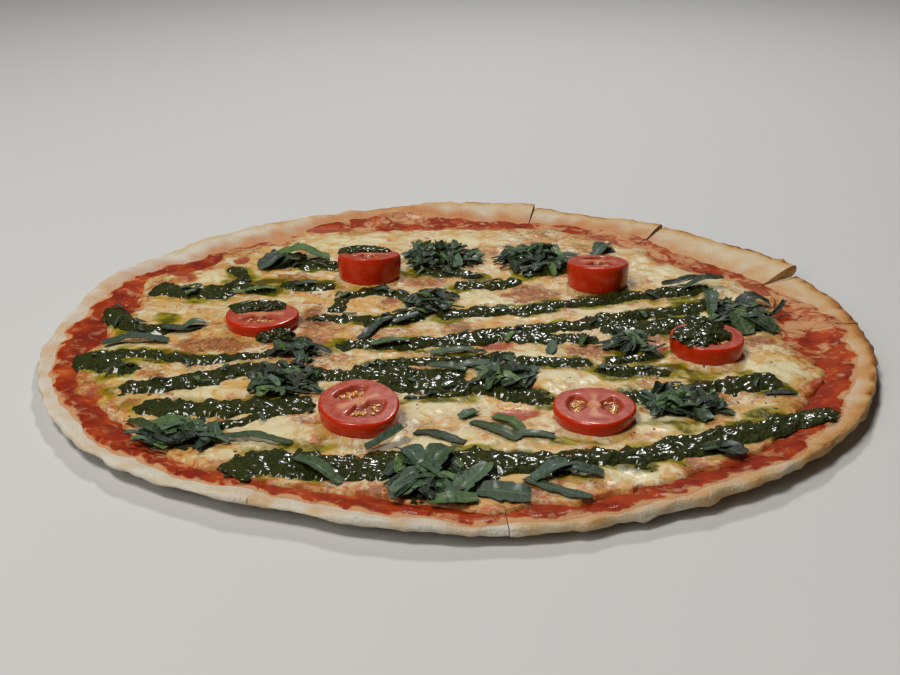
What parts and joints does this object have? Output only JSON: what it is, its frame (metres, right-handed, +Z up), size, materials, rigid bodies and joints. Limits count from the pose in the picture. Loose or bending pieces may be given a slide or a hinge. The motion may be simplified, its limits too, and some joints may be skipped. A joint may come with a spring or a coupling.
{
  "type": "margherita pizza",
  "caption": "Whole thin-crust pizza cut into slices, with tomato sauce, melted cheese, herb paste in bands, cherry tomato halves and shredded basil.",
  "frame": {"origin": "under the middle of the pizza, on the surface it lies on", "axes": "+Z up through the thickness, +Y away from the picture's viewer, +X to the viewer's right"},
  "size_m": [0.2981, 0.295, 0.0178],
  "materials": {
    "crust": "baked dough, dry and matt",
    "sauce": "cooked tomato sauce, oily sheen",
    "cheese": "melted cheese with herb paste on it, oily sheen",
    "tomato": "wet cut fruit",
    "basil": "oiled leaf, satin"
  },
  "bodies": {
    "root": {"crust_near": "crust", "crust_near_right": "crust", "crust_right": "crust", "crust_far_right": "crust", "crust_far": "crust", "crust_far_left": "crust", "crust_left": "crust", "sauce_near": "sauce", "sauce_near_right": "sauce", "sauce_right": "sauce", "sauce_far_right": "sauce", "sauce_far": "sauce", "sauce_far_left": "sauce", "sauce_left": "sauce", "cheese_near": "cheese", "cheese_near_right": "cheese", "cheese_right": "cheese", "cheese_far_right": "cheese", "cheese_far": "cheese", "cheese_far_left": "cheese", "cheese_left": "cheese", "tomato_near_left": "tomato", "tomato_near_right": "tomato", "tomato_left": "tomato", "tomato_right": "tomato", "tomato_far_left": "tomato", "tomato_far_right": "tomato", "basil_heap_far": "basil", "basil_heap_far_right": "basil", "basil_heap_middle": "basil", "basil_heap_right": "basil", "basil_heap_right_middle": "basil", "basil_heap_middle_right": "basil", "basil_heap_middle_left": "basil", "basil_heap_near_right": "basil", "basil_heap_near": "basil", "basil_heap_near_left": "basil", "basil_heap_left": "basil", "basil_leaf_far": "basil", "basil_strip_far_right": "basil", "basil_strip_middle": "basil", "basil_strip_left": "basil", "basil_leaf_near": "basil", "basil_strip_near_right": "basil", "basil_strip_near_left": "basil", "basil_strip_near": "basil", "basil_chip_near": "basil", "basil_leaf_near_right": "basil", "basil_strip_right": "basil", "basil_chip_right": "basil", "basil_strip_far_left": "basil", "basil_chip_left": "basil"}
  },
  "joints": []
}
